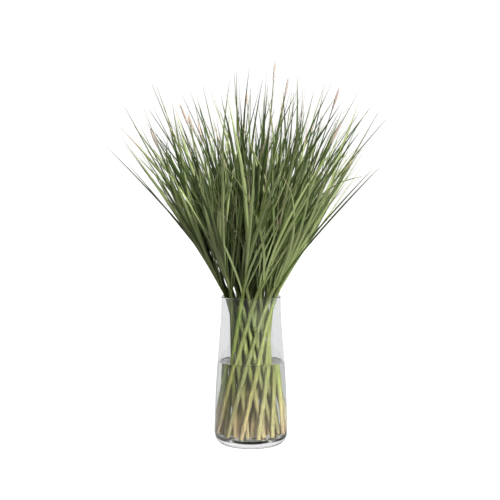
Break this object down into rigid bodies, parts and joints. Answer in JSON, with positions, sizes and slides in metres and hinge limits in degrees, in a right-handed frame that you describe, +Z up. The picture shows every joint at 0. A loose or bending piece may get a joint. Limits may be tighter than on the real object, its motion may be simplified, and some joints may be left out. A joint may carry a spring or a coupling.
{
  "type": "lemongrass stalks in a glass vase",
  "caption": "Cut lemongrass stalks standing in a clear tapered glass vase of water, crossing at a waist and fanning out over the rim into a wide crown of narrow green blades.",
  "frame": {"origin": "centre of the vase's flat underside", "axes": "+Z up along the vase's axis; +Y points away from the side that the picture shows, with +X to its right"},
  "size_m": [0.4772, 0.4987, 0.642],
  "materials": {
    "lemongrass": "fresh grass, satin green blades over pale yellow-green stems",
    "clear_glass": "clear polished soda glass",
    "water": "clear water"
  },
  "bodies": {
    "root": {"vase": "clear_glass", "water": "water", "stalk_01": "lemongrass", "stalk_02": "lemongrass", "stalk_03": "lemongrass", "stalk_04": "lemongrass", "stalk_05": "lemongrass", "stalk_06": "lemongrass", "stalk_07": "lemongrass", "stalk_08": "lemongrass", "stalk_09": "lemongrass", "stalk_10": "lemongrass", "stalk_11": "lemongrass", "stalk_12": "lemongrass", "stalk_13": "lemongrass", "stalk_14": "lemongrass", "stalk_15": "lemongrass", "stalk_16": "lemongrass", "stalk_17": "lemongrass", "stalk_18": "lemongrass", "stalk_19": "lemongrass", "stalk_20": "lemongrass", "stalk_21": "lemongrass", "stalk_22": "lemongrass", "stalk_23": "lemongrass", "stalk_24": "lemongrass", "stalk_25": "lemongrass", "stalk_26": "lemongrass", "stalk_27": "lemongrass", "stalk_28": "lemongrass", "stalk_29": "lemongrass", "stalk_30": "lemongrass", "stalk_31": "lemongrass", "stalk_32": "lemongrass"}
  },
  "joints": []
}
